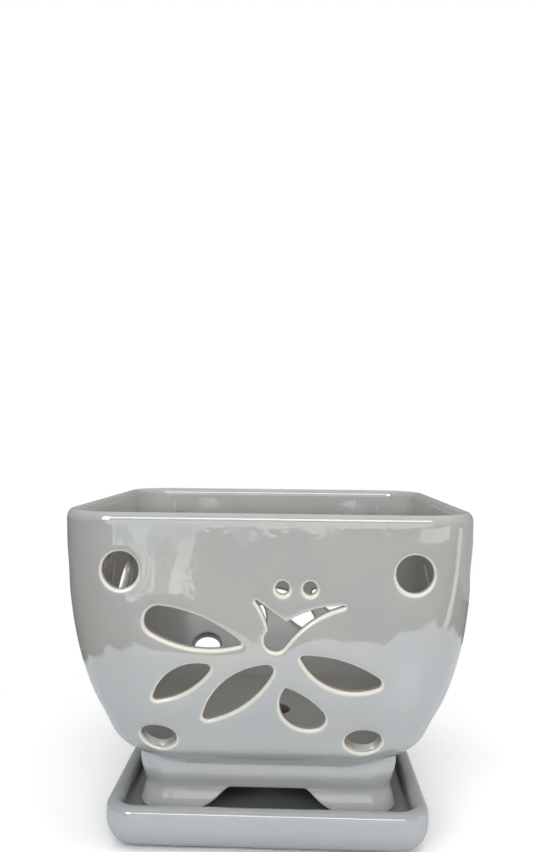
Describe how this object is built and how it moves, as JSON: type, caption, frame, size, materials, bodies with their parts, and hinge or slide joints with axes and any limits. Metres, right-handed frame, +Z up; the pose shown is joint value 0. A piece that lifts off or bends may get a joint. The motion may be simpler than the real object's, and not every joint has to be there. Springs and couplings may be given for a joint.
{
  "type": "orchid pot with slots",
  "caption": "Square glazed orchid pot with petal-shaped slots and round holes through its sides, on a hollow arched foot, standing in its own square saucer.",
  "frame": {"origin": "middle of the saucer's base, on the surface that it stands on", "axes": "+Z up through the middle of the rim; -Y towards the viewer of the picture, +X to the right"},
  "size_m": [0.2, 0.2, 0.167],
  "materials": {
    "pot_glaze": "gloss, pearl grey",
    "saucer_glaze": "gloss, pearl grey"
  },
  "bodies": {
    "saucer_body": {"saucer": "saucer_glaze"},
    "pot_body": {"pot": "pot_glaze"}
  },
  "joints": [
    {"name": "pot_lift", "type": "slide", "parent": "saucer_body", "child": "pot_body", "axis": [0, 0, 1], "range_m": [0, 0.04]}
  ]
}
